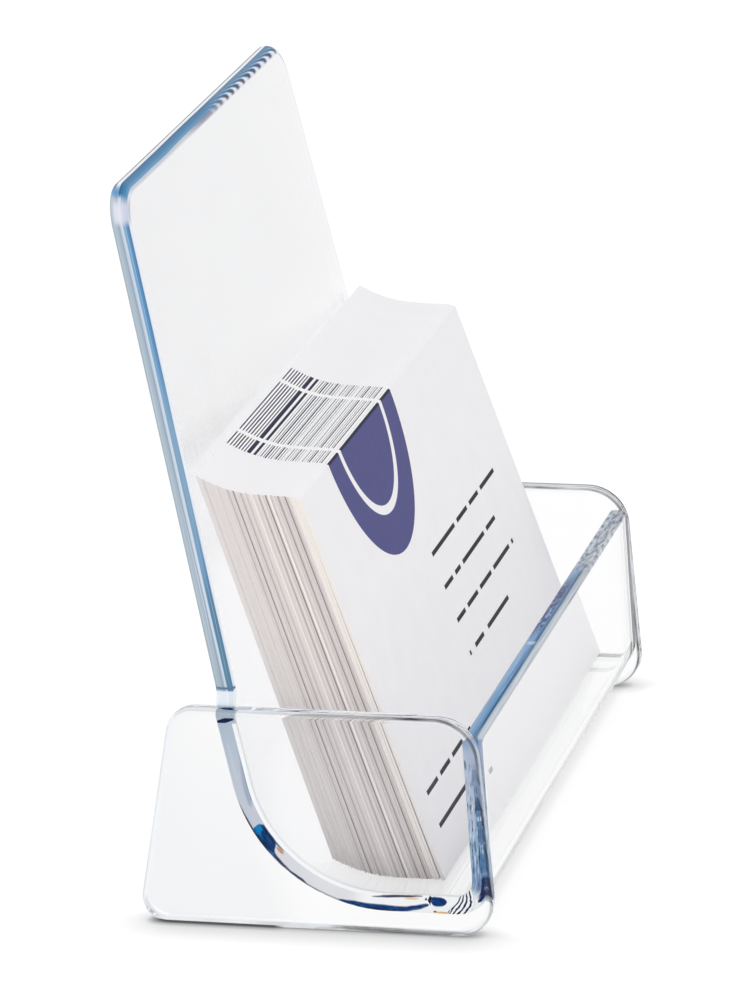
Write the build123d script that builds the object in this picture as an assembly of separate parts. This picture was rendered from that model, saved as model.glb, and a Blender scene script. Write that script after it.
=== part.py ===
from build123d import *
import math
import os

# Business card holder stand: one clear sheet bent into a pocket with a tall leaning back panel,
# two clear end plates cemented to its ends, and a pack of cards that leans in the pocket.
# Millimetres, +Z up, +X along the width, the front towards -Y. The origin is on the table,
# below the middle of the stand.

# Cards; angles are in degrees, and those of leaning pieces are measured from upright
card_width = 88.9
card_height = 50.8
card_thickness = 0.265
card_count = 40
rear_card_angle = 18.0
pack_front_angle = 19.1
front_card_angle = 19.3
card_gap = 0.02
front_card_gap = 0.15
rest_gap = 0.15
back_gap = 0.8
lift_scatter = 0.08
side_scatter = 0.25
lift_angle = 99.3
side_angle = 137.5
pack_side_shift = 2.2
halvings = 60

# Clear sheet: lip, floor, rear bend and back panel
sheet_thickness = 2.4
pocket_side_room = 5.3
pocket_depth = 24.4
floor_lift = 2.4
lip_angle = 2.5
lip_top = 25.0
lip_flush_height = 15.0
lip_bend_radius = 2.0
back_angle = 11.9
back_bend_radius = 17.0
back_top = 90.1
shoulder_drop = 0.5
shoulder_rise = 1.2
shoulder_step = 1.3
shoulder_round = 1.0
panel_side_angle = 4.3
panel_corner_radius = 5.2
panel_edge_round = 1.1

# Clear end plates
plate_thickness = 2.4
plate_height = 27.9
plate_front_angle = 4.3
plate_rear_angle = 10.1
plate_tail = 5.2
front_top_radius = 5.5
front_bottom_radius = 4.5
rear_top_radius = 3.7
rear_bottom_radius = 3.2

# Finish of the clear pieces
edge_round = 0.35
cement_thickness = 0.15


def rise(degrees):
    """How far a line leaning by this angle moves back for each millimetre up."""
    return math.tan(math.radians(degrees))


def direction(lean):
    """Unit steps in Y and Z along a line that leans back by this angle."""
    return math.sin(math.radians(lean)), math.cos(math.radians(lean))


def plate_front(z):
    return z * rise(plate_front_angle)


def lip_outer(z):
    return plate_front(lip_flush_height) + (z - lip_flush_height) * rise(lip_angle)


def lip_inner(z):
    return lip_outer(z) + sheet_thickness / math.cos(math.radians(lip_angle))


def back_inner(z):
    return lip_inner(floor_top) + pocket_depth + (z - floor_top) * rise(back_angle)


def back_outer(z):
    return back_inner(z) + sheet_thickness / math.cos(math.radians(back_angle))


floor_top = floor_lift + sheet_thickness
pocket_width = card_width + pocket_side_room
sheet_width = pocket_width - 2 * cement_thickness
plate_top_rear = back_outer(plate_height) + plate_tail
plate_base_rear = plate_top_rear + plate_height * rise(plate_rear_angle)

# Centre of the rear bend: one radius above the floor and one in front of the back panel
bend_z = floor_top + back_bend_radius
bend_y = back_inner(bend_z) - back_bend_radius / math.cos(math.radians(back_angle))

# The back panel narrows above this point of its front face
shoulder_z = plate_height - shoulder_drop
shoulder_y = back_inner(shoulder_z)


def sheet_profile():
    """Section of the bent sheet, seen along its width."""
    lip_y, lip_z = direction(lip_angle)
    inner = [
        (lip_inner(lip_top), lip_top),
        (lip_inner(floor_top), floor_top),
        (back_inner(floor_top), floor_top),
        (back_inner(back_top), back_top),
    ]
    outer = [
        (inner[0][0] - sheet_thickness * lip_z, lip_top + sheet_thickness * lip_y),
        (lip_outer(floor_lift), floor_lift),
        (back_outer(floor_lift), floor_lift),
        (back_outer(back_top), back_top),
    ]
    inner_radii = [lip_bend_radius, back_bend_radius]
    outer_radii = [radius + sheet_thickness for radius in inner_radii]
    with BuildSketch(Plane.YZ) as profile:
        with BuildLine():
            FilletPolyline(*inner, radius=inner_radii)
            FilletPolyline(*outer, radius=outer_radii)
            Line(inner[0], outer[0])
            Line(inner[3], outer[3])
        make_face()
    return profile.sketch


def panel_plane():
    """Plane in the back panel's front face, with its Y axis up the panel."""
    back_y, back_z = direction(back_angle)
    normal = (0, -back_z, back_y)
    return Plane(origin=(0, shoulder_y, shoulder_z), x_dir=(1, 0, 0), z_dir=normal)


def panel_outline():
    """Back panel above its shoulders: it tapers upwards and its top corners are round."""
    length = (back_top - shoulder_z) / math.cos(math.radians(back_angle))
    base_half = sheet_width / 2 - shoulder_step
    top_half = base_half - (length - shoulder_rise) * rise(panel_side_angle)
    right = [
        (sheet_width / 2, 0),
        (base_half, shoulder_rise),
        (top_half, length),
    ]
    left = [(-x, y) for x, y in reversed(right)]
    with BuildSketch(panel_plane()) as outline:
        with BuildLine():
            Polyline(*right, *left, close=True)
        make_face()
        fillet(outline.vertices().group_by(Axis.Y)[1], shoulder_round)
        fillet(outline.vertices().group_by(Axis.Y)[-1], panel_corner_radius)
    return outline.sketch


def above_shoulder():
    """All the space above the level where the back panel narrows."""
    reach = back_top + sheet_width
    space = Box(reach, reach, reach, align=(Align.CENTER, Align.CENTER, Align.MIN))
    return Pos(0, shoulder_y, shoulder_z) * space


def pocket_sheet():
    """The bent sheet, full width between the plates and tapered above them."""
    full = extrude(sheet_profile(), sheet_width / 2, both=True)
    panel = extrude(panel_outline(), sheet_width, dir=(0, 1, 0), both=True)
    sheet = (full - above_shoulder() + (full & panel)).clean()
    panel_edges = sheet.edges().filter_by(lambda edge: edge.center().Z > shoulder_z + shoulder_rise)
    sheet = fillet(panel_edges, panel_edge_round)
    lip_edges = sheet.edges().filter_by(Axis.X).filter_by(
        lambda edge: lip_top - edge_round < edge.center().Z < lip_top + edge_round
        and edge.center().Y < bend_y
    )
    return fillet(lip_edges, edge_round)


def plate_outline():
    """Side view of an end plate, with a rounding of its own at each corner."""
    corners = [
        (plate_front(0), 0, front_bottom_radius),
        (plate_base_rear, 0, rear_bottom_radius),
        (plate_top_rear, plate_height, rear_top_radius),
        (plate_front(plate_height), plate_height, front_top_radius),
    ]
    with BuildSketch(Plane.YZ) as outline:
        with BuildLine():
            Polyline(*[(y, z) for y, z, radius in corners], close=True)
        make_face()
        for y, z, radius in corners:
            corner = outline.vertices().sort_by_distance((y, z, 0))[0]
            fillet(corner, radius)
    return outline.sketch


def end_plate(side):
    """End plate on the left (side -1) or right (side 1), with polished edges."""
    plate = extrude(plate_outline(), plate_thickness)
    plate = fillet(plate.faces().filter_by(Axis.X).edges(), edge_round)
    inner_face = pocket_width / 2
    start = inner_face if side > 0 else -inner_face - plate_thickness
    return Pos(start, 0, 0) * plate


def cement_seam(side):
    """Film of cement where one end of the sheet meets its end plate."""
    bonded = sheet_profile() & offset(plate_outline(), -edge_round)
    film = extrude(bonded, cement_thickness) - above_shoulder()
    start = sheet_width / 2 if side > 0 else -pocket_width / 2
    return Pos(start, 0, 0) * film


def scatter(index, angle):
    """A repeatable uneven number from -1 to 1 for each card."""
    return math.sin(math.radians(angle * index))


def floor_height(y, gap):
    """Height just above the floor and the rear bend at this depth."""
    if y <= bend_y:
        return floor_top + gap
    reach = back_bend_radius - gap
    return bend_z - math.sqrt(reach ** 2 - (y - bend_y) ** 2)


def lean_back(lean, wall_point, wall_lean, wall_gap, floor_gap):
    """Lower rear edge of a card that stands on the floor and leans on a wall behind it.

    The depth is halved in on until the card's upper rear edge is one gap in front of the wall.
    """
    card_y, card_z = direction(lean)
    wall_y, wall_z = direction(wall_lean)
    near = lip_inner(floor_top)
    far = bend_y + (back_bend_radius - floor_gap) * math.cos(math.radians(back_angle))
    for _ in range(halvings):
        middle = (near + far) / 2
        top_y = middle + card_height * card_y
        top_z = floor_height(middle, floor_gap) + card_height * card_z
        clear = (wall_point[0] - top_y) * wall_z + (top_z - wall_point[1]) * wall_y
        if clear > wall_gap:
            near = middle
        else:
            far = middle
    return near, floor_height(near, floor_gap)


def card_places():
    """Lower rear edge, lean and side shift of every card, from the rear one forwards."""
    places = []
    wall_point = (back_inner(floor_top), floor_top)
    wall_lean = back_angle
    wall_gap = back_gap
    for index in range(card_count):
        share = index / (card_count - 2)
        lean = rear_card_angle + share * (pack_front_angle - rear_card_angle)
        if index == card_count - 1:
            lean = front_card_angle
            wall_gap = front_card_gap
        floor_gap = rest_gap + lift_scatter * (1 + scatter(index, lift_angle)) / 2
        y, z = lean_back(lean, wall_point, wall_lean, wall_gap, floor_gap)
        shift = pack_side_shift - side_scatter * scatter(index, side_angle)
        places.append((y, z, lean, shift))
        card_y, card_z = direction(lean)
        wall_point = (y - card_thickness * card_z, z + card_thickness * card_y)
        wall_lean = lean
        wall_gap = card_gap
    return places


def card(y, z, lean, shift):
    """One card: a flat plate that leans back, with its lower rear edge at this place."""
    plate = Box(card_width, card_thickness, card_height, align=(Align.CENTER, Align.MAX, Align.MIN))
    return Pos(shift, y, z) * Rot(-lean, 0, 0) * plate


nodes = {
    "pocket_sheet": pocket_sheet(),
    "left_end_plate": end_plate(-1),
    "right_end_plate": end_plate(1),
    "left_cement_seam": cement_seam(-1),
    "right_cement_seam": cement_seam(1),
}
for number, place in enumerate(reversed(card_places()), start=1):
    name = "front_card" if number == 1 else f"card_{number:02d}"
    nodes[name] = card(*place)

# The origin goes below the middle of the whole stand
box = Compound(children=[shape.solid() for shape in nodes.values()]).bounding_box()
to_middle = Pos(-box.center().X, -box.center().Y, -box.min.Z)

os.makedirs("parts", exist_ok=True)
for name, shape in nodes.items():
    export_step(to_middle * shape.solid(), f"parts/{name}.step")
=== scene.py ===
import math
from functools import partialmethod

import bmesh
import bpy
from mathutils import Euler, Matrix, Vector


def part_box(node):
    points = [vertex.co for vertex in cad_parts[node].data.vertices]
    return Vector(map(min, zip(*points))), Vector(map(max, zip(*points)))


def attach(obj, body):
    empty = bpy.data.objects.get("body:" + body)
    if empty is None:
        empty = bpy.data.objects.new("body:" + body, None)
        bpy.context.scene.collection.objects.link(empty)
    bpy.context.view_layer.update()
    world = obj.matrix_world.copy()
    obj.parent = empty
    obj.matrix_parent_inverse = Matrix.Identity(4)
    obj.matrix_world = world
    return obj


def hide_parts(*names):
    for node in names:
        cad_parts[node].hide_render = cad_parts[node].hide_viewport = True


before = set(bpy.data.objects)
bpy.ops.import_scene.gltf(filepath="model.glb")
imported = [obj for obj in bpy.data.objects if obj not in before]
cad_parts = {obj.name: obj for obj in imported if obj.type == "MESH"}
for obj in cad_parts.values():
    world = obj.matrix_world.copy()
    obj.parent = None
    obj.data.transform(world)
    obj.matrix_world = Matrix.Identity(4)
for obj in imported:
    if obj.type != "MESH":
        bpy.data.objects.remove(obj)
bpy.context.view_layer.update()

# Business card holder stand: one bent clear sheet, two clear end plates, the cement between them,
# and the pack of cards that leans in the pocket. Metres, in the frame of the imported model.

MM = 0.001
scene = bpy.context.scene

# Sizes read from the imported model
near_plate_low, near_plate_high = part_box("left_end_plate")
far_plate_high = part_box("right_end_plate")[1]
sheet_low, sheet_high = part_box("pocket_sheet")
plate_thickness = near_plate_high.x - near_plate_low.x
plate_height = near_plate_high.z
sheet_half = sheet_high.x
floor_lift = sheet_low.z
back_top = sheet_high.z

# Shape of the clear pieces; angles are in degrees
sheet_thickness = 2.4 * MM
pocket_depth = 24.4 * MM
lip_angle = 2.5
lip_top = 25.0 * MM
lip_flush_height = 15.0 * MM
lip_bend_radius = 2.0 * MM
back_angle = 11.9
back_bend_radius = 17.0 * MM
shoulder_drop = 0.5 * MM
shoulder_rise = 1.2 * MM
shoulder_step = 1.3 * MM
shoulder_round = 1.0 * MM
panel_side_angle = 4.3
panel_corner_radius = 5.2 * MM
panel_edge_round = 1.1 * MM
plate_front_angle = 4.3
plate_rear_angle = 10.1
plate_tail = 5.2 * MM
front_top_radius = 5.5 * MM
front_bottom_radius = 4.5 * MM
rear_top_radius = 3.7 * MM
rear_bottom_radius = 3.2 * MM
edge_round = 0.35 * MM
seam_clearance = 0.01 * MM
bond_depth = 0.02 * MM

# Finish of the clear pieces: tint of a face, and the light that a face or an edge lets through
acrylic_ior = 1.49
panel_tint = (0.893, 0.895, 0.908, 1)
panel_edge_tint = (0.945, 0.946, 0.954, 1)
# pocket_tint is clearer than the panel's: painted light that brightens the lip, the pocket and the panel's
# lower part
pocket_tint = (0.985, 0.987, 0.99, 1)
# plate_tint, greyer than plate_clear_tint, is painted shade that the plates get behind the back panel's line
plate_tint = (0.9, 0.905, 0.917, 1)
plate_clear_tint = (1.0, 1.0, 1.0, 1)
clear_shade = (0.95, 0.955, 0.965, 1)
edge_shade = (0.6, 0.63, 0.68, 1)
contact_shade = (0.12, 0.125, 0.135, 1)
sheet_contact = 7.0 * MM
plate_contact = 8.0 * MM
plate_edge_round = 0.7 * MM
# Shine of the reflection that a surface gives straight ahead
sheet_shine = 0.5
plate_shine = 0.2
plate_edge_shine = 1.0
# Heights between which the panel turns greyer, from the clearer tint below that is painted light, and between
# which its reflections turn soft
painted_light_heights = (48 * MM, 64 * MM)
haze_heights = (36 * MM, 46 * MM)
panel_haze = 0.13
# Radians of the wave of the painted reflection beads for each metre along the panel's top edge
reflection_bead_turns = 2167.0

# Share of the sheet's thickness by which the cement stays inside its faces
seam_inset = 0.03

# Fineness of the meshes
edge_steps = 6
arc_step = 4.0
settle = 0.4 * MM


def rise(degrees):
    """How far a line leaning by this angle moves back for each unit up."""
    return math.tan(math.radians(degrees))


def cosine(degrees):
    return math.cos(math.radians(degrees))


# The plates' front line meets the table a little in front of their round lower corner
front_corner = front_bottom_radius * (1 / cosine(plate_front_angle) + rise(plate_front_angle) - 1)
front_y = near_plate_low.y - front_corner
floor_top = floor_lift + sheet_thickness


def plate_front(z):
    return front_y + z * rise(plate_front_angle)


def lip_inner(z):
    outer = plate_front(lip_flush_height) + (z - lip_flush_height) * rise(lip_angle)
    return outer + sheet_thickness / cosine(lip_angle)


def back_inner(z):
    return lip_inner(floor_top) + pocket_depth + (z - floor_top) * rise(back_angle)


plate_top_rear = back_inner(plate_height) + sheet_thickness / cosine(back_angle) + plate_tail
plate_base_rear = plate_top_rear + plate_height * rise(plate_rear_angle)


# Node trees


class Wire:
    """Output of a node, which is reckoned with like a number."""

    def __init__(self, tree, socket):
        self.tree = tree
        self.socket = socket

    def calc(self, operation, *values):
        return put(self.tree, "ShaderNodeMath", self, *values, operation=operation)

    def __rsub__(self, other):
        return put(self.tree, "ShaderNodeMath", other, self, operation="SUBTRACT")

    __add__ = partialmethod(calc, "ADD")
    __sub__ = partialmethod(calc, "SUBTRACT")
    __mul__ = partialmethod(calc, "MULTIPLY")
    __truediv__ = partialmethod(calc, "DIVIDE")
    __lt__ = partialmethod(calc, "LESS_THAN")
    __gt__ = partialmethod(calc, "GREATER_THAN")
    __abs__ = partialmethod(calc, "ABSOLUTE")
    or_more = partialmethod(calc, "MAXIMUM")


def put(tree, kind, *inputs, output=0, **settings):
    """Adds a node and gives one of its outputs; inputs are constants or wires in the sockets' order."""
    made = tree.nodes.new(kind)
    for key, value in settings.items():
        setattr(made, key, value)
    for socket, value in zip(made.inputs, inputs):
        feed(tree, socket, value)
    return Wire(tree, made.outputs[output])


def feed(tree, socket, value):
    """Sets a socket to a constant, or links a wire to it."""
    if isinstance(value, Wire):
        tree.links.new(value.socket, socket)
    elif value is not None:
        socket.default_value = value


def split(vector):
    parts = put(vector.tree, "ShaderNodeSeparateXYZ", vector).socket.node.outputs
    return [Wire(vector.tree, part) for part in parts]


def between(value, low, high):
    """0 below low, 1 above high and smooth between them."""
    return put(value.tree, "ShaderNodeMapRange", value, low, high, 0.0, 1.0, interpolation_type="SMOOTHSTEP")


def band(value, low, high, soft):
    """1 between low and high, with soft sides."""
    return between(value, low - soft, low + soft) * between(value, high + soft, high - soft)


def mixed(share, first, second):
    """Colour that goes from the first to the second by share."""
    made = share.tree.nodes.new("ShaderNodeMix")
    made.data_type = "RGBA"
    for index, value in ((0, share), (6, first), (7, second)):
        feed(share.tree, made.inputs[index], value)
    return Wire(share.tree, made.outputs[2])


def tone(red, green, blue):
    """Colour from the 0 to 255 numbers of a screen."""
    linear = []
    for part in (red, green, blue):
        part /= 255
        linear.append(part / 12.92 if part <= 0.04045 else ((part + 0.055) / 1.055) ** 2.4)
    return (*linear, 1.0)


def grey(level):
    return (level, level, level, 1)


def laid(base, colour, share):
    """Screen colour laid over the base by share."""
    return mixed(share, base, tone(*colour))


def ramp(value, stops, interpolation):
    """Colours along a value from 0 to 1."""
    made = value.tree.nodes.new("ShaderNodeValToRGB")
    made.color_ramp.interpolation = interpolation
    elements = made.color_ramp.elements
    elements[0].position, elements[0].color = stops[0]
    elements[1].position, elements[1].color = stops[-1]
    for position, colour in stops[1:-1]:
        elements.new(position).color = colour
    feed(value.tree, made.inputs[0], value)
    return Wire(value.tree, made.outputs[0])


def tone_ramp(value, stops):
    """Screen colours that ease into one another along a value from 0 to 1."""
    return ramp(value, [(position, tone(*colour)) for position, colour in stops], "EASE")


def noise(place, scale, detail):
    return put(place.tree, "ShaderNodeTexNoise", place, None, scale, detail)


def scaled(place, *factors):
    return put(place.tree, "ShaderNodeVectorMath", place, factors, operation="MULTIPLY")


def stretched_noise(place, along, across, detail):
    """Noise on a map, with its own scale along and across it."""
    return noise(scaled(place, along, across, 1.0), 1.0, detail)


def object_place(tree):
    return put(tree, "ShaderNodeTexCoord", output="Object")


def ray(tree, kind):
    """1 for rays of this kind."""
    return put(tree, "ShaderNodeLightPath", output=f"Is {kind} Ray")


def principled(tree, **sockets):
    """Principled shader; a socket's name is written with underscores for its spaces."""
    made = tree.nodes.new("ShaderNodeBsdfPrincipled")
    for key, value in sockets.items():
        feed(tree, made.inputs[key.replace("_", " ")], value)
    return Wire(tree, made.outputs[0])


def painted(tree, colour, roughness, gloss):
    """Finish that hides what is behind it."""
    return principled(tree, Base_Color=colour, Roughness=roughness, IOR=acrylic_ior, Specular_IOR_Level=gloss)


def blended(share, first, second):
    """Shader that goes from the first to the second by share."""
    return put(share.tree, "ShaderNodeMixShader", share, first, second)


def new_material(name):
    material = bpy.data.materials.new(name)
    material.use_nodes = True
    material.node_tree.nodes.clear()
    return material, material.node_tree


def finished(material, surface):
    """The material with this shader on its surface."""
    out = surface.tree.nodes.new("ShaderNodeOutputMaterial")
    feed(surface.tree, out.inputs["Surface"], surface)
    return material


# Clear finishes


def clear_shader(tree, colour, shade, contact, shine, haze=0.0):
    """Polished acrylic; lamps and bounced light pass through it, less so near its foot."""
    place = object_place(tree)
    smudges = noise(place, 90.0, 3.0)
    glass = principled(
        tree,
        Base_Color=colour,
        Roughness=put(tree, "ShaderNodeMapRange", smudges, 0.45, 0.75, 0.0, 0.02) + haze,
        IOR=acrylic_ior,
        Specular_Tint=grey(shine),
        Transmission_Weight=1.0,
    )
    x, _, z = split(place)
    foot = (abs(x) < sheet_half + plate_thickness / 2) * between(z, contact, 0.0)
    passing = put(tree, "ShaderNodeBsdfTransparent", mixed(foot, shade, contact_shade))
    bounced = blended(ray(tree, "Diffuse"), glass, passing)
    return blended(ray(tree, "Shadow"), bounced, passing)


def sheet_acrylic():
    """Clear faces of the bent sheet; the tall panel is a little greyer and reflects softly, and the clearer
    tint below it is painted light.
    """
    material, tree = new_material("sheet_acrylic")
    height = split(object_place(tree))[2]
    tint = mixed(between(height, *painted_light_heights), pocket_tint, panel_tint)
    haze = between(height, *haze_heights) * panel_haze
    return finished(material, clear_shader(tree, tint, clear_shade, sheet_contact, sheet_shine, haze))


def plate_acrylic():
    """Clear faces of an end plate, with painted shade in uneven grey patches behind the back panel's line."""
    material, tree = new_material("plate_acrylic")
    place = object_place(tree)
    _, y, z = split(place)
    behind = y - (z * rise(back_angle) + back_inner(0))
    painted_grey_patches = between(behind, -6 * MM, 3 * MM) * between(noise(place, 30.0, 1.0), 0.1, 0.6)
    tint = mixed(painted_grey_patches, plate_clear_tint, plate_tint)
    return finished(material, clear_shader(tree, tint, clear_shade, plate_contact, plate_shine))


def plate_edge():
    """Edge of an end plate: clear, with broken dark lines of painted reflection along its roundings and a
    painted contact shadow under its rear.
    """
    material, tree = new_material("plate_edge")
    run_map = put(tree, "ShaderNodeUVMap", uv_map="edge_run")
    across = split(run_map)[1]
    x, y, z = split(object_place(tree))
    breaks = stretched_noise(run_map, 110.0, 1.5, 3.0)
    broken = put(tree, "ShaderNodeMapRange", breaks, 0.38, 0.62, 0.4, 1.0)
    # The lines along the roundings are painted dark reflections, stronger towards the front
    forward = between(y, 10 * MM, -12 * MM) * 0.75 + 0.25
    lines = band(across, 0.05, 0.19, 0.03).or_more(band(across, 0.81, 0.95, 0.03)) * broken * forward
    colours = mixed(lines, tone(244, 247, 250), tone(12, 14, 20))
    # Painted contact shadow: a dark line on the lower rounding under the plate's rear
    under_rear = between(z, 0.55 * MM, 0.4 * MM) * band(y, 3 * MM, 20 * MM, 1 * MM)
    painted_foot_shadow = under_rear * band(across, 0.03, 0.21, 0.012) * between(breaks, 0.34, 0.42)

    # The far plate has one more painted dark reflection along its outer rounding
    outline = (x > 0.0) * band(across, 0.14, 0.42, 0.04) * broken
    painted_shade_share = (outline * 0.75).or_more(painted_foot_shadow * 0.9).or_more(lines * 0.3)
    clear = clear_shader(tree, colours, edge_shade, plate_contact, plate_edge_shine)
    return finished(material, blended(painted_shade_share, clear, painted(tree, tone(18, 19, 26), 0.5, 0.0)))


def side_painted_light(across, streaks, z):
    """Painted light along the panel's side edges, for the light that the edge gathers and reflects: blue at
    the front face, grey and pale behind it.
    """
    lines = tone_ramp(across, [
        (0.0, (236, 242, 250)), (0.05, (225, 233, 243)), (0.08, (80, 126, 168)), (0.18, (96, 144, 186)),
        (0.30, (118, 162, 200)), (0.36, (206, 216, 228)), (0.42, (190, 202, 216)), (0.50, (146, 163, 184)),
        (0.62, (164, 180, 194)), (0.80, (172, 187, 197)), (0.90, (150, 166, 178)), (1.0, (112, 128, 142)),
    ])
    blue = band(across, 0.07, 0.32, 0.03)
    lines = laid(lines, (137, 169, 192), blue * band(z, 46 * MM, 66 * MM, 7 * MM) * 0.7)
    lines = laid(lines, (88, 130, 158), blue * between(z, 46 * MM, 38 * MM))
    lines = laid(lines, (232, 239, 245), between(streaks, 0.56, 0.72) * 0.6)
    lines = laid(lines, (92, 122, 152), between(streaks, 0.42, 0.30) * 0.45)

    # The round top corner gets a painted white highlight, and the shoulder's facet a painted pale highlight
    # under a painted dark line
    corner = band(z, back_top - 3.9 * MM, back_top - 1.5 * MM, 0.6 * MM)
    lines = laid(lines, (200, 204, 220), corner * between(across, 0.36, 0.26))
    lines = laid(lines, (222, 222, 234), corner * band(across, 0.28, 0.72, 0.12) * 0.9)
    lines = laid(lines, (236, 243, 250), band(z, 27.5 * MM, 29.0 * MM, 0.1 * MM) * 0.85)
    return laid(lines, (96, 120, 152), band(z, 29.2 * MM, 29.5 * MM, 0.1 * MM))


def top_painted_light(run, across, x):
    """Painted light along the panel's top edge, with painted inner reflections that repeat as beads along its
    far half.
    """
    lines = tone_ramp(across, [
        (0.0, (218, 217, 221)), (0.02, (206, 205, 212)), (0.045, (200, 212, 230)), (0.065, (104, 154, 192)),
        (0.20, (70, 128, 172)), (0.36, (52, 112, 158)), (0.44, (30, 82, 128)), (0.47, (228, 240, 248)),
        (0.62, (246, 250, 253)), (0.67, (118, 124, 132)), (1.0, (100, 106, 114)),
    ])
    middle = band(x, -6 * MM, 6 * MM, 6 * MM)
    lines = laid(lines, (128, 126, 150), middle * between(across, 0.12, 0.05) * 0.75)
    turning = between(abs(x), 36.5 * MM, 38.5 * MM)
    lines = laid(lines, (98, 150, 194), turning * between(across, 0.43, 0.47))

    # Each painted reflection bead is 2.9 mm long and has a tail that sweeps back across the edge
    jitter = noise(put(run.tree, "ShaderNodeCombineXYZ", run, 0.0, 0.0), 240.0, 1.0)
    sweep = across * across * -130.0 + jitter * 3.2
    wave = (run * reflection_bead_turns + sweep).calc("SINE")
    far_half = between(x, 0.0, 12 * MM) * between(x, 41 * MM, 36 * MM)
    row = far_half * between(across, 0.17, 0.10)
    lines = laid(lines, (78, 78, 104), row * between(wave, 0.05, 0.6))
    lines = laid(lines, (236, 239, 246), row * between(wave, -0.4, -0.85))
    tails = far_half * band(across, 0.13, 0.42, 0.05)
    lines = laid(lines, (42, 72, 106), tails * between(wave, 0.45, 0.9) * 0.7)
    return laid(lines, (196, 216, 232), tails * between(wave, -0.6, -0.95) * 0.8)


def lip_painted_light(run_map, across, x):
    """Painted light along the lip's top edge: blue near by, with painted reflections mottled purple and grey
    towards its far end.
    """
    lines = tone_ramp(across, [
        (0.0, (120, 120, 155)), (0.05, (100, 110, 150)), (0.10, (150, 178, 205)), (0.30, (128, 166, 202)),
        (0.50, (104, 146, 190)), (0.60, (52, 92, 130)), (0.66, (70, 108, 145)), (0.72, (176, 188, 198)),
        (0.88, (205, 211, 216)), (1.0, (190, 196, 202)),
    ])
    mottle = stretched_noise(run_map, 620.0, 5.0, 3.0)
    grain = stretched_noise(run_map, 70.0, 16.0, 4.0)
    lines = laid(lines, (196, 214, 228), between(grain, 0.52, 0.68) * 0.5)
    lines = laid(lines, (66, 104, 146), between(grain, 0.46, 0.32) * 0.6)
    purple = band(x, -6 * MM, 15 * MM, 4 * MM) * between(across, 0.56, 0.40)
    lines = laid(lines, (66, 72, 122), purple * between(mottle, 0.38, 0.52))
    greys = tone_ramp(mottle, [
        (0.30, (62, 60, 88)), (0.42, (140, 146, 166)), (0.52, (206, 212, 220)), (0.66, (246, 248, 250)),
    ])
    lines = mixed(between(x, 17 * MM, 25 * MM) * 0.75, lines, greys)
    # A painted white glint on the near part of the edge
    painted_glint = band(x, -11.0 * MM, -9.8 * MM, 0.3 * MM) * band(across, 0.2, 0.62, 0.1)
    return laid(lines, (238, 243, 248), painted_glint * 0.4)


def polished_edge():
    """Edge of the sheet: blue, grey and pale lines of painted light run along it outside, and it is clear
    from inside.
    """
    material, tree = new_material("polished_edge")
    run_map = put(tree, "ShaderNodeUVMap", uv_map="edge_run")
    run, across, _ = split(run_map)
    x, y, z = split(object_place(tree))
    streaks = stretched_noise(run_map, 22.0, 12.0, 4.0)
    swayed = across + (stretched_noise(run_map, 60.0, 0.0, 1.0) * 0.06 - 0.03)
    on_top = between(z, back_top - 1.3 * MM, back_top - 0.7 * MM)
    on_lip = between(z, lip_top + 2 * MM, lip_top + 1 * MM)
    lines = mixed(on_top, side_painted_light(swayed, streaks, z), top_painted_light(run, swayed, x))
    lines = mixed(on_lip, lines, lip_painted_light(run_map, swayed, x))

    # The ends that are cemented to the plates stay pale, up to the lip's top and the panel's shoulders
    bonded = abs(x) > sheet_half - 2 * edge_round
    above = z - ((y > 0.0) * (2.9 * MM) + (lip_top - 0.3 * MM))
    lines = laid(lines, (246, 249, 251), bonded * between(above, 0.0, -0.5 * MM))
    inner_tint = mixed(between(z, *painted_light_heights), pocket_tint, panel_edge_tint)
    clear = put(tree, "ShaderNodeBsdfRefraction", inner_tint, 0.0, 1.0)
    inside = put(tree, "ShaderNodeNewGeometry", output="Backfacing")
    return finished(material, blended(inside, painted(tree, lines, 0.3, 0.1), clear))
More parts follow.
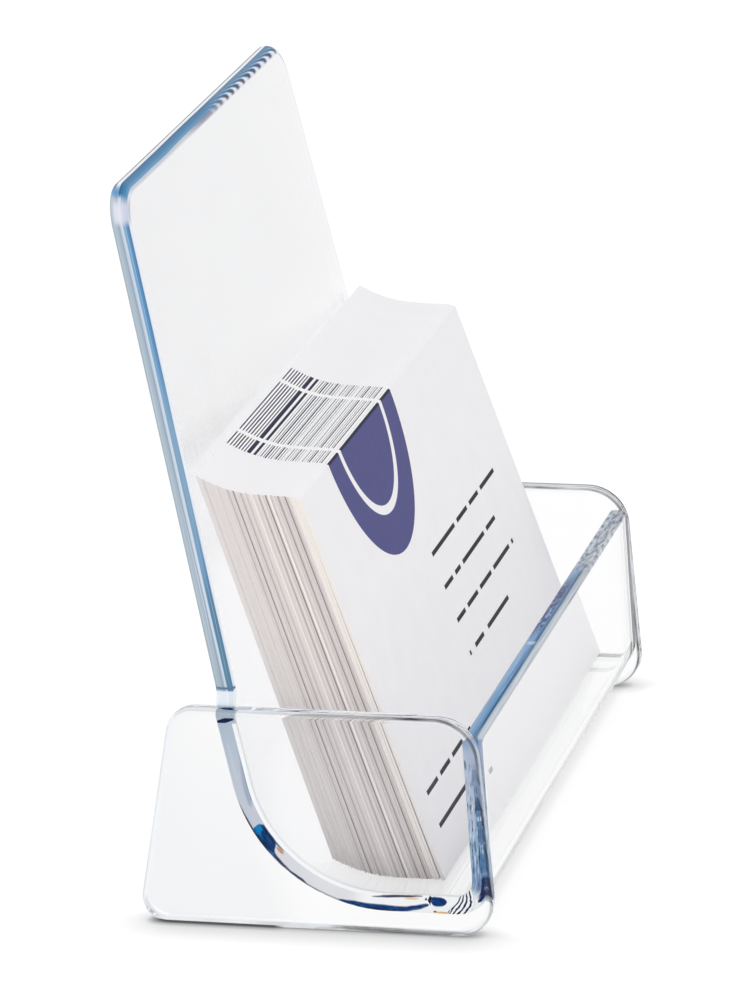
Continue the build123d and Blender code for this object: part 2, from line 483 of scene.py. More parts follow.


# Cement

# Strokes of painted light and shade in the cement: colour, then places along it as the run from the lip's top
# in millimetres, the share across it, and half the stroke's width as a share
film_strokes = [
    ((84, 126, 168), [
        (0.5, 0.58, -0.1), (1.2, 0.58, 0.14), (5.0, 0.57, 0.12), (10.0, 0.60, 0.13), (14.0, 0.62, 0.14),
        (18.0, 0.64, 0.17), (18.6, 0.66, -0.1),
    ]),
    ((26, 46, 92), [
        (17.4, 0.62, -0.1), (17.9, 0.62, 0.12), (18.6, 0.66, 0.16), (19.3, 0.76, 0.16), (19.8, 0.80, 0.1),
        (20.0, 0.80, -0.1),
    ]),
    ((6, 56, 118), [
        (22.4, 0.34, -0.1), (22.7, 0.36, 0.18), (23.2, 0.33, 0.27), (24.1, 0.33, 0.28), (24.5, 0.33, 0.2),
        (24.6, 0.33, -0.1),
    ]),
    ((14, 14, 30), [
        (24.2, 0.10, -0.1), (24.4, 0.10, 0.05), (24.6, 0.3, 0.3), (24.7, 0.3, -0.1),
    ]),
    ((16, 36, 84), [
        (21.0, 0.55, -0.1), (21.3, 0.62, 0.06), (21.9, 0.80, 0.1), (22.4, 0.92, 0.08), (22.7, 0.96, -0.1),
    ]),
    ((8, 54, 116), [
        (24.6, 0.52, -0.1), (24.9, 0.57, 0.09), (26.0, 0.69, 0.13), (27.5, 0.81, 0.14), (28.5, 0.84, 0.15),
        (30.0, 0.82, 0.18), (32.0, 0.84, 0.16), (34.0, 0.86, 0.13), (35.2, 0.92, 0.05), (35.8, 0.94, -0.1),
    ]),
    ((22, 26, 62), [
        (28.6, 0.97, -0.1), (29.2, 0.97, 0.03), (31.0, 0.96, 0.05), (33.0, 0.97, 0.04), (35.0, 0.98, -0.1),
    ]),
    ((66, 66, 96), [
        (34.6, 0.93, -0.1), (35.4, 0.94, 0.02), (37.5, 0.95, 0.015), (39.2, 0.94, 0.03), (39.8, 0.88, 0.08),
        (41.5, 0.91, 0.06), (43.0, 0.89, 0.09), (44.6, 0.84, 0.13), (45.0, 0.84, -0.1),
    ]),
    ((30, 28, 58), [
        (25.2, 0.08, -0.1), (25.6, 0.08, 0.03), (27.0, 0.10, 0.06), (29.0, 0.13, 0.075), (30.5, 0.17, 0.06),
        (31.7, 0.23, 0.02), (32.2, 0.25, -0.1),
    ]),
    ((8, 56, 108), [
        (43.4, 0.90, -0.1), (44.3, 0.82, 0.14), (44.8, 0.68, 0.31), (45.4, 0.62, 0.38), (47.7, 0.62, 0.38),
        (47.9, 0.62, -0.1),
    ]),
    ((16, 34, 70), [
        (43.2, 0.29, -0.1), (43.8, 0.30, 0.02), (45.0, 0.30, 0.045), (47.5, 0.30, 0.045),
        (48.0, 0.30, -0.1),
    ]),
    ((8, 20, 48), [
        (43.5, 0.97, -0.1), (45.0, 0.96, 0.05), (49.0, 0.96, 0.05), (50.5, 0.98, 0.02), (53.0, 0.99, -0.1),
    ]),
    ((112, 134, 156), [
        (50.2, 0.26, -0.1), (50.8, 0.26, 0.03), (56.0, 0.25, 0.025), (58.5, 0.24, -0.1),
    ]),
    ((14, 30, 76), [
        (61.1, 0.56, -0.1), (61.12, 0.56, 0.5), (61.5, 0.57, 0.5), (61.52, 0.57, -0.1),
    ]),
]
# Soft painted glows in the cement, written in the same way
film_glows = [
    ((0, 128, 194), [
        (45.6, 0.78, -0.4), (46.6, 0.78, -0.05), (47.2, 0.68, 0.16), (47.75, 0.62, 0.26), (47.9, 0.62, 0.2),
        (48.0, 0.62, -0.4),
    ]),
    ((8, 74, 138), [
        (28.0, 0.84, -0.4), (30.0, 0.80, -0.04), (31.5, 0.80, 0.02), (33.0, 0.84, -0.04),
        (35.0, 0.86, -0.4),
    ]),
    ((138, 156, 186), [
        (49.6, 0.42, -0.4), (50.4, 0.42, 0.06), (52.0, 0.40, 0.06), (55.0, 0.32, 0.0), (58.0, 0.24, -0.06),
        (60.0, 0.22, -0.4),
    ]),
    ((206, 214, 224), [
        (50.5, 0.75, -0.4), (54.0, 0.72, -0.02), (58.0, 0.72, 0.0), (60.0, 0.72, -0.4),
    ]),
]
# Small spots in the cement, painted glints among them: colour, run, share across, and half their length and
# width
film_spots = [
    ((88, 146, 182), 0.8, 0.60, 0.8, 0.2),
    ((104, 116, 136), 3.3, 0.07, 0.6, 0.05),
    ((140, 152, 172), 3.6, 0.30, 0.6, 0.05),
    ((110, 130, 146), 8.6, 0.22, 0.4, 0.07),
    ((222, 184, 110), 23.2, 0.93, 0.9, 0.06),
    ((140, 60, 74), 24.1, 0.90, 0.25, 0.06),
    ((228, 202, 150), 26.8, 0.24, 0.9, 0.05),
    ((30, 26, 34), 25.0, 0.24, 0.14, 0.09),
    ((206, 146, 96), 44.0, 0.42, 0.6, 0.09),
]
# Soft sides of the strokes and of the glows, as a share across
stroke_soft = 0.05
glow_soft = 0.16
# Painted slanting glints below the lip: how far they lean over the film, and their step, in millimetres
glint_lean = 1.55
glint_step = 0.42


def film_stroke(run, across, length, places, soft):
    """1 on a stroke that follows these places along the cement, with soft sides."""
    # A ramp's colours hold no negative number, so half widths are raised on it and lowered after it
    reach = 0.2
    stops = [(place / length, (share, half + reach, 0.0, 1.0)) for place, share, half in places]
    share, widened, _ = split(ramp(run / length, stops, "LINEAR"))
    return between(abs(across - share) - (widened - reach), soft, -soft)


def cement():
    """Cement in the joint, painted with the light it shows: pale where it is thin, blue and navy where the
    bent sheet gathers light.
    """
    material, tree = new_material("cement")
    seam_map = put(tree, "ShaderNodeUVMap", uv_map="seam_run")
    run, across, _ = split(seam_map)
    run = run * (1 / MM)
    length = shoulder_run() / MM
    ripple = stretched_noise(seam_map, 520.0, 1.8, 3.0) * 0.9 - 0.45
    run = run + ripple * between(run, 60.5, 58.5)
    wavy = across + (stretched_noise(seam_map, 330.0, 0.8, 3.0) * 0.16 - 0.08)
    white = (250, 251, 252)
    colours = tone_ramp(run / length, [(place / length, colour) for place, colour in [
        (0.0, (150, 172, 202)), (2.0, (182, 194, 214)), (10.0, (182, 194, 214)), (14.0, (150, 178, 204)),
        (18.5, (120, 150, 184)), (20.0, white), (32.0, white), (35.0, (228, 229, 231)),
        (44.0, (216, 220, 226)), (48.0, (198, 204, 214)), (length, (178, 192, 206)),
    ]])

    # Painted strokes of light and shade, which are fainter in the far film, with an uneven painted shimmer,
    # then painted glows and spots
    far = split(object_place(tree))[0] > 0.0
    kept = 1.0 - far * band(run, 21.0, 46.0, 1.0) * 0.6
    inked = 0.0
    for colour, places in film_strokes:
        stroke = film_stroke(run, wavy, length, places, stroke_soft)
        colours = laid(colours, colour, stroke * kept)
        inked = stroke.or_more(inked)
    inked = inked * band(run, 22.0, 49.0, 1.0)
    shimmer = stretched_noise(seam_map, 800.0, 7.0, 4.0)
    colours = laid(colours, (84, 128, 172), inked * between(shimmer, 0.54, 0.68) * 0.55)
    colours = laid(colours, (8, 14, 40), inked * between(shimmer, 0.46, 0.34) * 0.6)
    for colour, places in film_glows:
        colours = laid(colours, colour, film_stroke(run, wavy, length, places, glow_soft))
    for colour, place, share, half_run, half_share in film_spots:
        from_run = (run - place) / half_run
        from_share = (wavy - share) / half_share
        away = (from_run * from_run + from_share * from_share).calc("SQRT")
        colours = laid(colours, colour, between(away, 1.25, 0.6))

    # The lip's end is full of small bubbles, and the bend below it is crossed by painted slanting glints
    specks = stretched_noise(seam_map, 620.0, 11.0, 5.0)
    on_lip = band(run, 5.0, 19.0, 4.0)
    colours = laid(colours, (36, 52, 92), on_lip * between(specks, 0.54, 0.62) * 0.8)
    colours = laid(colours, (214, 226, 238), on_lip * between(specks, 0.42, 0.34))
    slanted = run - across * glint_lean
    glints = (slanted * (math.tau / glint_step)).calc("SINE")
    crossed = band(slanted, 19.1, 20.9, 0.1)
    colours = laid(colours, white, crossed)
    colours = laid(colours, (20, 36, 66), crossed * between(glints, 0.0, 0.5))

    # Next to the pocket, behind the lip's bend, the film is painted white: painted light that stands in for
    # the bright pocket behind it
    painted_white_border = across < between(run, 24.0, 34.0) * 0.2 + 0.02
    colours = laid(colours, white, painted_white_border * between(run, 31.0, 33.0) * between(run, 60.9, 60.5))
    return finished(material, painted(tree, colours, 0.4, 0.0))


# Cards

card_width, card_height = 88.9 * MM, 50.8 * MM
# A card and the gap behind it, so that the pack's top and sides are closed
card_thickness = 0.283 * MM
# The front card also fills the wider gap behind it
front_card_gap = 0.13 * MM
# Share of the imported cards' sideways scatter that is kept
side_share = 0.4
# Cards on either side over which the place of a card's foot is averaged
even_reach = 4
card_bow = 0.12 * MM
card_shear = 0.004
card_cuts = (25, 2, 15)
disc_radius = 17.0 * MM
disc_x = -13.0 * MM
ring_inner, ring_outer = 10.6 * MM, 11.8 * MM
# Plain printed bars: left end, height on the card and length, in millimetres
print_bars = [
    (-4, 30.0, 38), (-4, 25.4, 31), (-4, 20.8, 35), (-4, 16.2, 24), (-39, 9.6, 26), (-39, 5.2, 21),
]
bar_height = 0.6 * MM
bar_soft = 0.02 * MM
# Depth below the top edge over which the print is painted darker, as shade
print_shade_rim = 0.3 * MM
# The front face and the ends are taken this deep, so that points on them count as theirs
ink_depth = 0.01 * MM
end_depth = 0.01 * MM


def card_value(tree, name, output):
    """Value that the card's tree stored under this name."""
    return put(tree, "ShaderNodeAttribute", attribute_name=name, output=output)


def card_stock():
    """White card with a half disc that bleeds off the top edge, plain bars, and cut edges of uneven tone,
    with painted shade in the gaps between some cards and along the print's top edge.
    """
    material, tree = new_material("card_stock")
    place = card_value(tree, "card_place", "Vector")
    stock_tone_and_shade = card_value(tree, "stock_tone_and_shade", "Fac")
    ink_wrap = card_value(tree, "ink_wrap", "Fac")
    x, y, z = split(place)
    white = mixed(noise(place, 220.0, 3.0), tone(241, 240, 243), tone(247, 246, 247))
    cut = tone_ramp(stock_tone_and_shade, [
        (0.0, (200, 192, 191)), (0.45, (213, 206, 205)), (0.6, (218, 212, 211)), (1.0, (238, 231, 226)),
    ])
    fibres = noise(scaled(place, 1.0, 9000.0, 130.0), 1.0, 3.0)
    cut = laid(cut, (228, 222, 221), between(fibres, 0.5, 0.75) * 0.5)
    # Painted shade in the gaps between cards: the rear half of a dark-toned cut edge, and a fainter line
    # behind middle tones
    gap_shade_half = between(y, -0.55 * card_thickness, -0.35 * card_thickness)
    cut = laid(cut, (128, 118, 117), between(stock_tone_and_shade, 0.30, 0.05) * gap_shade_half)
    gap_shade_line = between(y, -0.35 * card_thickness, -0.1 * card_thickness)
    cut = laid(cut, (158, 149, 148), between(stock_tone_and_shade, 0.62, 0.30) * gap_shade_line * 0.4)
    base = mixed(abs(x) > card_width / 2 - end_depth, white, cut)

    # The print is on the front face and reaches a little over the top edge
    printed = y < ink_wrap + (ink_depth - card_thickness)
    from_disc = put(
        tree,
        "ShaderNodeVectorMath",
        scaled(place, 1.0, 0.0, 1.0),
        (disc_x, 0.0, card_height),
        operation="DISTANCE",
        output="Value",
    )
    disc = (from_disc < disc_radius) * (1.0 - band(from_disc, ring_inner, ring_outer, 0.05 * MM))
    grain = noise(place, 1600.0, 2.0)
    indigo = mixed(grain, tone(70, 70, 128), tone(80, 80, 136))
    # Painted shade: the print turns near black close to the top edge
    indigo = laid(indigo, (14, 17, 54), between(z, card_height - print_shade_rim, card_height - 0.5 * print_shade_rim))
    base = mixed(disc * printed, base, indigo)
    bars = 0.0
    for left, height, length in print_bars:
        along = band(x, left * MM, (left + length) * MM, bar_soft)
        up = band(z, height * MM - bar_height / 2, height * MM + bar_height / 2, bar_soft)
        breaks = noise(put(tree, "ShaderNodeCombineXYZ", x, 0.0, height), 260.0, 0.0)
        bars = (along * up * between(breaks, 0.40, 0.42)).or_more(bars)
    base = laid(base, (16, 14, 24), bars * printed)
    relief = put(tree, "ShaderNodeBump", 0.06, 0.01 * MM, None, grain)
    paper = principled(tree, Base_Color=base, Roughness=0.55, Specular_IOR_Level=0.2, Normal=relief)
    return finished(material, paper)


def card_tree():
    """Geometry Nodes tree of one card: a thin slab that bows a little and leans back on its lower edge."""
    tree = bpy.data.node_groups.new("leaning_card", "GeometryNodeTree")
    tree.interface.new_socket("Geometry", in_out="OUTPUT", socket_type="NodeSocketGeometry")
    numbers = ("Width", "Thickness", "Height", "Top Drop", "Lean", "Shear", "Bow", "Stock Tone", "Ink Wrap")
    kinds = {**dict.fromkeys(numbers, "Float"), "Lower Edge": "Vector", "Stock": "Material"}
    sockets = {}
    for name, kind in kinds.items():
        sockets[name] = tree.interface.new_socket(name, in_out="INPUT", socket_type="NodeSocket" + kind)
    group = tree.nodes.new("NodeGroupInput")
    given = {name: Wire(tree, group.outputs[name]) for name in kinds}
    width, thickness, height = given["Width"], given["Thickness"], given["Height"]
    size = put(tree, "ShaderNodeCombineXYZ", width, thickness, height)
    slab = put(tree, "GeometryNodeMeshCube", size, *card_cuts)
    to_edge = put(tree, "ShaderNodeCombineXYZ", 0.0, thickness * -0.5, height * 0.5)
    standing = put(tree, "GeometryNodeSetPosition", slab, None, None, to_edge)
    position = put(tree, "GeometryNodeInputPosition")
    marked = keep_attribute(standing, "card_place", position, "FLOAT_VECTOR")
    marked = keep_attribute(marked, "stock_tone_and_shade", given["Stock Tone"], "FLOAT")
    marked = keep_attribute(marked, "ink_wrap", given["Ink Wrap"], "FLOAT")
    x, y, z = split(position)
    share = x / (width * 0.5)
    forward = (1.0 - share * share) * (given["Bow"] * -1.0)
    sideways = (z - height * 0.5) * given["Shear"]
    dropped = (z > height * 0.999) * (y / thickness * -1.0) * given["Top Drop"]
    bend = put(tree, "ShaderNodeCombineXYZ", sideways, forward, dropped)
    bowed = put(tree, "GeometryNodeSetPosition", marked, None, None, bend)
    lean = put(tree, "ShaderNodeCombineXYZ", given["Lean"] * -1.0, 0.0, 0.0)
    placed = tree.nodes.new("GeometryNodeTransform")
    feed(tree, placed.inputs["Geometry"], bowed)
    feed(tree, placed.inputs["Translation"], given["Lower Edge"])
    feed(tree, placed.inputs["Rotation"], put(tree, "FunctionNodeEulerToRotation", lean))
    whole = put(tree, "GeometryNodeRealizeInstances", Wire(tree, placed.outputs[0]))
    dressed = put(tree, "GeometryNodeSetMaterial", whole, None, given["Stock"])
    feed(tree, tree.nodes.new("NodeGroupOutput").inputs[0], dressed)
    return tree, sockets


def keep_attribute(geometry, name, value, kind):
    """Stores a value of each point of the geometry under this name."""
    made = geometry.tree.nodes.new("GeometryNodeStoreNamedAttribute")
    made.data_type = kind
    made.domain = "POINT"
    for key, given in (("Geometry", geometry), ("Name", name), ("Value", value)):
        feed(geometry.tree, made.inputs[key], given)
    return Wire(geometry.tree, made.outputs[0])


def box_middle(node):
    """Place of a card's middle along the width."""
    low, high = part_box(node)
    return (low.x + high.x) / 2


def card_stand(node):
    """Lower rear edge of a card in side view, and its lean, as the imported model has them."""
    corners = [vertex.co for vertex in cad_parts[node].data.vertices]
    foot = min(corners, key=lambda corner: corner.z)
    rear_top = max(corners, key=lambda corner: corner.y)
    lean = math.atan2(rear_top.y - foot.y, rear_top.z - foot.z)
    return Vector((foot.y, foot.z)), lean


def evened(stands):
    """The pack's cards with their feet averaged over their neighbours, so that its top is even."""
    result = []
    for index, (_, lean) in enumerate(stands):
        reach = min(index, len(stands) - 1 - index, even_reach)
        near_by = [foot for foot, _ in stands[index - reach:index + reach + 1]]
        result.append((sum(near_by, Vector((0, 0))) / len(near_by), lean))
    return result


def top_drop(stand, before):
    """How far a card's top falls towards the card before it, so that the pack's top has no steps."""
    (foot, lean), (foot_before, lean_before) = stand, before
    up = Vector((math.sin(lean), math.cos(lean)))
    up_before = Vector((math.sin(lean_before), math.cos(lean_before)))
    return (foot_before + up_before * card_height - foot - up * card_height).dot(up)


def leaning_card(name, node, stand, tree, sockets, values):
    """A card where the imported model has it, made by the tree and kept as a plain mesh."""
    foot, lean = stand
    gap = front_card_gap if node == "front_card" else 0.0
    foot = foot + Vector((math.cos(lean), -math.sin(lean))) * gap
    middle = pack_middle + side_share * (box_middle(node) - pack_middle)
    values = {
        **values,
        "Width": card_width,
        "Thickness": card_thickness + gap,
        "Height": card_height,
        "Lean": lean,
        "Lower Edge": (middle, foot.x, foot.y),
    }
    card = bpy.data.objects.new(name, bpy.data.meshes.new(name))
    scene.collection.objects.link(card)
    modifier = card.modifiers.new("leaning_card", "NODES")
    modifier.node_group = tree
    for key, value in values.items():
        modifier[sockets[key].identifier] = value
    made = card.evaluated_get(bpy.context.evaluated_depsgraph_get())
    mesh = bpy.data.meshes.new_from_object(made)
    card.modifiers.remove(modifier)
    card.data = mesh
    mesh.name = name
    return card


def uneven(index, angle):
    """A repeatable uneven number from 0 to 1 for each card."""
    return 0.5 + 0.5 * math.sin(math.radians(angle * index))


# Steps in degrees from card to card of their uneven shear, edge tone and print
shear_step, tone_step, ink_step, rear_ink_step = 71.0, 151.0, 111.0, 83.0
# Cards counted from the front: how pale the cut edge is of those that show a dark line of painted shade or a
# pale line of painted highlight, and the width in millimetres of the print on the top edge of those that
# differ from their neighbours
edge_shade_and_highlight_lines = {5: 0.02, 8: 0.16, 12: 1.0, 13: 0.0, 16: 0.22, 19: 0.95, 23: 0.18, 26: 0.1, 28: 0.2}
ink_lines = {
    1: 0.0, 2: 0.12, 7: 0.15, 11: 0.0, 14: 0.13, 18: 0.0,
    21: 0.16, 25: 0.15, 28: 0.02, 29: 0.27, 30: 0.0, 31: 0.28,
}


def edge_tone_and_shade(index):
    """How pale a card's cut edge is: even at the front and the rear of the pack, lined between with uneven
    tone and with lines of painted shade and highlight.
    """
    if index in edge_shade_and_highlight_lines:
        return edge_shade_and_highlight_lines[index]
    if index < 4:
        return 0.92
    if index > 29:
        return 0.62 + 0.06 * uneven(index, tone_step)
    return 0.36 + 0.34 * uneven(index, tone_step)


def ink_line(index):
    """Width of the print on a card's top edge: thin lines in front, stronger ones at the rear of the pack."""
    if index in ink_lines:
        return ink_lines[index] * MM
    if index > 31:
        return (0.09 + 0.03 * uneven(index, rear_ink_step)) * MM
    return (0.03 + 0.06 * uneven(index, ink_step)) * MM


# Clear pieces


def rounded_path(corners, radii, closed=False):
    """Points and unit directions along a line whose corners are rounded.

    Next to each rounding the straight parts get a close extra point, so that shading settles there.
    """
    points = [Vector(corner) for corner in corners]
    count = len(points)
    path = []

    def add(point, along):
        if not path or (point - path[-1][0]).length > 1e-7:
            path.append((point, along))

    for index, point in enumerate(points):
        before = points[index - 1]
        after = points[(index + 1) % count]
        if not closed and index == 0:
            add(point, (after - point).normalized())
            continue
        if not closed and index == count - 1:
            add(point, (point - before).normalized())
            continue
        arriving = (point - before).normalized()
        leaving = (after - point).normalized()
        turn = arriving.angle_signed(leaving)
        radius = radii[index]
        reach = radius * math.tan(abs(turn) / 2)
        start = point - arriving * reach
        side = Vector((arriving.y, -arriving.x)) * math.copysign(1, turn)
        centre = start + side * radius
        steps = max(2, math.ceil(abs(math.degrees(turn)) / arc_step))
        add(start - arriving * min(settle, reach), arriving)
        for step in range(steps + 1):
            swing = Matrix.Rotation(-turn * step / steps, 2)
            add(centre + swing @ (start - centre), swing @ arriving)
        add(point + leaving * (reach + min(settle, reach)), leaving)
    return path


def along_path(path):
    """Distance of each point of a path from its start."""
    runs = [0.0]
    for (first, _), (second, _) in zip(path, path[1:]):
        runs.append(runs[-1] + (second - first).length)
    return runs


def rim_section(thickness, radius):
    """Rounded section of a sheet's edge: how far in from the edge, and how deep from the first face."""
    section = []
    for step in range(edge_steps + 1):
        swing = math.radians(90) * step / edge_steps
        section.append((radius * (1 - math.sin(swing)), radius * (1 - math.cos(swing))))
    mirrored = [(inset, thickness - depth) for inset, depth in reversed(section)]
    return section + mirrored


def loop_runs(ring):
    """Metres along a closed ring of points, with its full length as the last number."""
    runs = [0.0]
    for index, point in enumerate(ring):
        after = ring[(index + 1) % len(ring)]
        runs.append(runs[-1] + (Vector(after) - Vector(point)).length)
    return runs


def new_piece(name, shape, materials):
    """Object at the origin from a bmesh, with its faces turned outwards."""
    bmesh.ops.recalc_face_normals(shape, faces=shape.faces)
    mesh = bpy.data.meshes.new(name)
    shape.to_mesh(mesh)
    shape.free()
    for material in materials:
        mesh.materials.append(material)
    piece = bpy.data.objects.new(name, mesh)
    scene.collection.objects.link(piece)
    return piece


def rimmed_piece(name, rings, shares, rows, materials):
    """Clear piece from the rings round its rim.

    rings holds one loop of points for each step across the rim, shares how far across each step is,
    and rows the strips of the two faces. The map edge_run holds metres along the rim and the share across it.
    """
    shape = bmesh.new()
    run_map = shape.loops.layers.uv.new("edge_run")
    corners = [[shape.verts.new(point) for point in ring] for ring in rings]
    count = len(rings[0])
    last = len(rings) - 1
    runs = loop_runs(rings[edge_steps])
    for across in range(last):
        for index in range(count):
            after = (index + 1) % count
            around = ((across, index, 0), (across, after, 1), (across + 1, after, 1), (across + 1, index, 0))
            wall = shape.faces.new([corners[step][place] for step, place, _ in around])
            wall.material_index = 1
            for loop, (step, place, onward) in zip(wall.loops, around):
                loop[run_map].uv = (runs[index + onward], shares[step][place])
    for ring in (corners[0], corners[last]):
        for row in rows:
            shape.faces.new([ring[index] for index in row])
        for index in range(count):
            edge = shape.edges.get((ring[index], ring[(index + 1) % count]))
            edge.smooth = False
    for face in shape.faces:
        face.smooth = True
    return new_piece(name, shape, materials)


def sheet_section():
    """Inner face of the bent sheet in side view, from the lip's top to the back panel's top."""
    return rounded_path(
        [
            (lip_inner(lip_top), lip_top),
            (lip_inner(floor_top), floor_top),
            (back_inner(floor_top), floor_top),
            (back_inner(back_top), back_top),
        ],
        [0, lip_bend_radius, back_bend_radius, 0],
    )


def shoulder_run():
    """How far along the sheet, from the lip's top, the back panel starts to narrow."""
    panel = (back_top - plate_height + shoulder_drop) / cosine(back_angle)
    return along_path(sheet_section())[-1] - panel


def bent_sheet(name, materials):
    """Lip, floor, rear bend and tapered back panel in one bent sheet with rounded edges."""
    section = sheet_section()
    runs = along_path(section)
    full_run = runs[-1]
    neck_run = shoulder_run()
    bend_end = max(run for run, (_, along) in zip(runs, section) if along.angle(section[-1][1]) > 1e-4)
    top_slide = sheet_thickness * rise(back_angle)

    def on_sheet(run, depth):
        """Side-view place at this run along the sheet and depth into it; the panel's top edge is level."""
        share = min(max((run - bend_end) / (neck_run - bend_end), 0), 1)
        run += top_slide * share * depth / sheet_thickness
        index = 0
        while index < len(runs) - 2 and runs[index + 1] < run:
            index += 1
        part = (run - runs[index]) / (runs[index + 1] - runs[index])
        first, first_along = section[index]
        second, second_along = section[index + 1]
        along = (first_along + (second_along - first_along) * min(max(part, 0), 1)).normalized()
        return first + (second - first) * part + Vector((along.y, -along.x)) * depth

    base_half = sheet_half - shoulder_step
    top_half = base_half - (full_run - neck_run - shoulder_rise) * rise(panel_side_angle)
    side = rounded_path(
        [
            (sheet_half, 0),
            (sheet_half, neck_run),
            (base_half, neck_run + shoulder_rise),
            (top_half, full_run),
            (0, full_run),
        ],
        [0, 2 * edge_round, shoulder_round, panel_corner_radius, 0],
    )[1:-1]
    outline = [(Vector((sheet_half, 0)), Vector((1, -1)))]
    for run in runs:
        if 0 < run < neck_run - settle:
            outline.append((Vector((sheet_half, run)), Vector((1, 0))))
    for point, along in side:
        outline.append((point, Vector((along.y, -along.x))))
    sections = []
    for point, _ in outline:
        widening = min(max((point.y - neck_run - shoulder_rise) / shoulder_rise, 0), 1)
        radius = edge_round + (panel_edge_round - edge_round) * widening
        sections.append(rim_section(sheet_thickness, radius))
    rings = []
    shares = []
    for across in range(len(sections[0])):
        right = []
        left = []
        depths = []
        for (point, outward), section_here in zip(outline, sections):
            inset, depth = section_here[across]
            x, run = point - outward * inset
            y, z = on_sheet(run, depth)
            right.append((x, y, z))
            left.append((-x, y, z))
            depths.append(depth / sheet_thickness)
        rings.append(right + left[::-1])
        shares.append(depths + depths[::-1])
    count = len(outline)
    rows = []
    for index in range(count - 1):
        rows.append((index, index + 1, 2 * count - 2 - index, 2 * count - 1 - index))
    return rimmed_piece(name, rings, shares, rows, materials)


def end_plate(name, outer_x, inward, materials):
    """Flat end plate with four round corners and rounded, polished edges."""
    outline = rounded_path(
        [
            (plate_front(0), 0),
            (plate_base_rear, 0),
            (plate_top_rear, plate_height),
            (plate_front(plate_height), plate_height),
        ],
        [front_bottom_radius, rear_bottom_radius, rear_top_radius, front_top_radius],
        closed=True,
    )
    rings = []
    shares = []
    for inset, depth in rim_section(plate_thickness, plate_edge_round):
        ring = []
        for point, along in outline:
            y, z = point - Vector((along.y, -along.x)) * inset
            ring.append((outer_x + inward * depth, y, z))
        rings.append(ring)
        shares.append([depth / plate_thickness] * len(ring))
    return rimmed_piece(name, rings, shares, [tuple(range(len(outline)))], materials)


def cement_seam(name, node, material):
    """Film of cement along the sheet's end, with metres along it and the share across it in seam_run."""
    low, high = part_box(node)
    if low.x < 0:
        levels = (low.x - bond_depth, high.x - seam_clearance)
    else:
        levels = (low.x + seam_clearance, high.x + bond_depth)
    section = sheet_section()
    runs = along_path(section)
    length = shoulder_run()
    stations = []
    for run, (point, along) in zip(runs, section):
        if run < length:
            stations.append((max(run, edge_round), point, along))
    start, along = section[0]
    stations[0] = (edge_round, start + along * edge_round, along)
    point, along = stations[-1][1], section[-1][1]
    stations.append((length, point + along * (length - stations[-1][0]), along))
    shape = bmesh.new()
    run_map = shape.loops.layers.uv.new("seam_run")
    corners = []
    for run, point, along in stations:
        into = Vector((along.y, -along.x))
        ring = []
        for x, depth in ((levels[0], 0), (levels[0], 1), (levels[1], 1), (levels[1], 0)):
            y, z = point + into * sheet_thickness * (seam_inset + (1 - 2 * seam_inset) * depth)
            ring.append((shape.verts.new((x, y, z)), (run, depth)))
        corners.append(ring)
    walls = []
    for first, second in zip(corners, corners[1:]):
        for index in range(4):
            after = (index + 1) % 4
            walls.append((first[index], first[after], second[after], second[index]))
    walls.append(corners[0])
    walls.append(corners[-1])
    for wall in walls:
        face = shape.faces.new([corner for corner, _ in wall])
        for loop, (_, place) in zip(face.loops, wall):
            loop[run_map].uv = place
    return new_piece(name, shape, [material])


# The object's pieces

sheet_finish = [sheet_acrylic(), polished_edge()]
plate_finish = [plate_acrylic(), plate_edge()]
glue = cement()
stock = card_stock()

holder_pieces = [
    (bent_sheet("clear_sheet", sheet_finish), "pocket_sheet", "clear_acrylic"),
    (end_plate("near_plate", near_plate_low.x, 1, plate_finish), "left_end_plate", "clear_acrylic"),
    (end_plate("far_plate", far_plate_high.x, -1, plate_finish), "right_end_plate", "clear_acrylic"),
    (cement_seam("near_seam", "left_cement_seam", glue), "left_cement_seam", "cement"),
    (cement_seam("far_seam", "right_cement_seam", glue), "right_cement_seam", "cement"),
]
for piece, node, slot in holder_pieces:
    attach(piece, "holder")
    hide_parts(node)

tree, sockets = card_tree()
card_nodes = sorted(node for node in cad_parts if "card" in node and node != "front_card")
pack_middle = sum(box_middle(node) for node in card_nodes) / len(card_nodes)
stands = [card_stand("front_card")] + evened([card_stand(node) for node in card_nodes])
for index, node in enumerate(["front_card"] + card_nodes):
    values = {
        "Top Drop": top_drop(stands[max(index, 1)], stands[max(index, 1) - 1]),
        "Shear": card_shear * (uneven(index, shear_step) - 0.5),
        "Bow": card_bow,
        "Stock Tone": edge_tone_and_shade(index),
        "Ink Wrap": ink_line(index),
        "Stock": stock,
    }
    card = leaning_card(node + "_sheet", node, stands[index], tree, sockets, values)
    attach(card, "drawn_card" if node == "front_card" else "card_pack")
    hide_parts(node)


# Floor, light and camera

floor_half = 3.0
floor_drop = 0.02 * MM
# What the floor scatters and what it glows with: to the camera, and in and through the clear pieces
floor_scatter, floor_glow = 0.16, 0.89
mirrored_scatter, mirrored_glow = 0.06, 0.94
soft_light = (0.995, 0.99, 0.985, 1)
soft_strength = 0.83
low_light = (0.4, 0.4, 0.42, 1)
lamp_target = Vector((0, 0, 0.03))
# Lamps: place, size, watts and colour
lamps = {
    "key_lamp": ((0.5, 0.35, 2.6), 1.6, 3.5, (1.0, 0.99, 0.96)),
    "front_lamp": ((-0.1, -1.2, 0.4), 0.9, 1.7, (0.95, 0.96, 1.0)),
    "side_lamp": ((-1.3, -0.1, 0.35), 0.9, 4.6, (1.0, 0.98, 0.97)),
    "back_lamp": ((0.1, 1.3, 0.25), 0.9, 6.0, (1.0, 1.0, 1.0)),
}


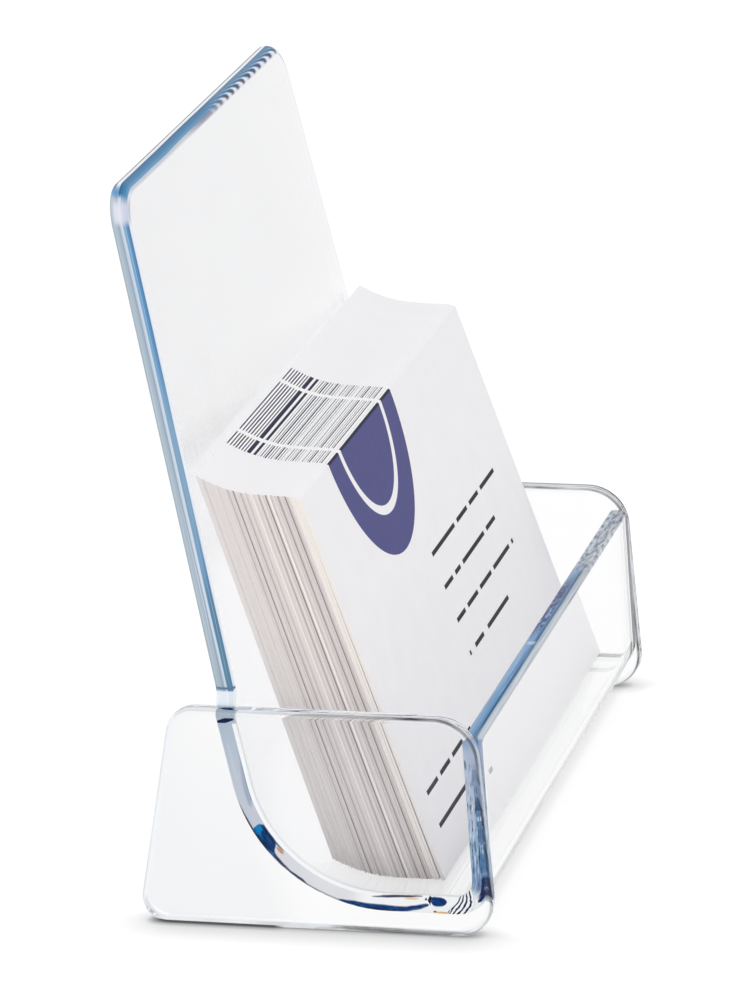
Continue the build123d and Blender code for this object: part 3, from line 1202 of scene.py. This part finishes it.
def white_floor():
    """Matt floor that shows white where nothing shades it."""
    corners = [(x * floor_half, y * floor_half, 0) for x, y in ((-1, -1), (1, -1), (1, 1), (-1, 1))]
    mesh = bpy.data.meshes.new("white_floor")
    mesh.from_pydata(corners, [], [(0, 1, 2, 3)])
    material, tree = new_material("white_floor")
    x, y, _ = split(object_place(tree))

    # The camera sees a soft shade near the pieces, wider at the near plate, and a dark line under the rear
    reach = between(x, 50 * MM, 46 * MM) * (-1 * MM) + 4 * MM + between(x, -46 * MM, -50 * MM) * (4 * MM)
    near_by = put(tree, "ShaderNodeAmbientOcclusion", grey(1), reach, samples=16)
    touching = put(tree, "ShaderNodeAmbientOcclusion", grey(1), 1.2 * MM, samples=8)
    under_rear = band(y, 3 * MM, 20 * MM, 1 * MM) * 0.5 + 0.3
    contact = (near_by * 0.65 + 0.35) * (1.0 - under_rear * (1.0 - touching))
    shaded = put(tree, "ShaderNodeBsdfDiffuse", contact * floor_scatter)
    facing = put(tree, "ShaderNodeAddShader", shaded, put(tree, "ShaderNodeEmission", contact, floor_glow))

    faint = put(tree, "ShaderNodeBsdfDiffuse", grey(mirrored_scatter))
    bright = put(tree, "ShaderNodeEmission", grey(1), mirrored_glow)
    through = put(tree, "ShaderNodeAddShader", faint, bright)
    in_clear = ray(tree, "Glossy").or_more(ray(tree, "Transmission"))
    white = blended(in_clear, put(tree, "ShaderNodeBsdfDiffuse", grey(0.8)), through)
    mesh.materials.append(finished(material, blended(ray(tree, "Camera"), white, facing)))
    floor = bpy.data.objects.new("white_floor", mesh)
    floor.location.z = -floor_drop
    scene.collection.objects.link(floor)


def white_surround():
    """Soft even light on the object, plain white behind it and through it, greyer low down in reflections."""
    world = bpy.data.worlds.new("white_surround")
    scene.world = world
    world.use_nodes = True
    tree = world.node_tree
    tree.nodes.clear()
    mirrored = ray(tree, "Glossy") * (1.0 - ray(tree, "Transmission"))
    seen = ray(tree, "Camera").or_more(ray(tree, "Transmission")).or_more(mirrored)
    height = split(put(tree, "ShaderNodeTexCoord", output="Generated"))[2]
    soft = put(tree, "ShaderNodeBackground", soft_light, soft_strength)
    white = put(tree, "ShaderNodeBackground", grey(1), 1.0)
    low = mixed(between(height, 0.0, 0.45), low_light, grey(1))
    studio = put(tree, "ShaderNodeBackground", low, 1.0)
    out = tree.nodes.new("ShaderNodeOutputWorld")
    feed(tree, out.inputs["Surface"], blended(seen, soft, blended(mirrored, white, studio)))


def soft_lamp(name, place, size, watts, colour):
    """Round area lamp that is turned to the object."""
    lamp = bpy.data.lights.new(name, "AREA")
    lamp.shape = "DISK"
    lamp.size = size
    lamp.energy = watts
    lamp.color = colour
    stand = bpy.data.objects.new(name, lamp)
    stand.location = place
    stand.rotation_mode = "QUATERNION"
    stand.rotation_quaternion = (lamp_target - Vector(place)).to_track_quat("-Z", "Y")
    scene.collection.objects.link(stand)


def photo_camera():
    """Camera at the photograph's place, found from the corners of the plates, panel and cards."""
    azimuth = math.radians(-76.679)
    elevation = math.radians(16.868)
    roll = math.radians(1.797)
    target = Vector((-0.048 * MM, front_y + 25.067 * MM, 39.867 * MM))
    distance = 847.79 * MM
    facing = Euler((math.radians(90) - elevation, 0, azimuth)).to_matrix() @ Matrix.Rotation(-roll, 3, "Z")
    lens = bpy.data.cameras.new("photo_camera")
    lens.sensor_width = 36.0
    lens.lens = 239.8
    lens.clip_start = 0.01
    lens.clip_end = 20.0
    camera = bpy.data.objects.new("photo_camera", lens)
    camera.matrix_world = Matrix.Translation(target + facing.col[2] * distance) @ facing.to_4x4()
    scene.collection.objects.link(camera)
    scene.camera = camera


white_floor()
white_surround()
for name, values in lamps.items():
    soft_lamp(name, *values)
photo_camera()

scene.view_settings.view_transform = "Standard"
scene.cycles.max_bounces = 32
scene.cycles.glossy_bounces = 24
scene.cycles.transmission_bounces = 32
scene.cycles.transparent_max_bounces = 32
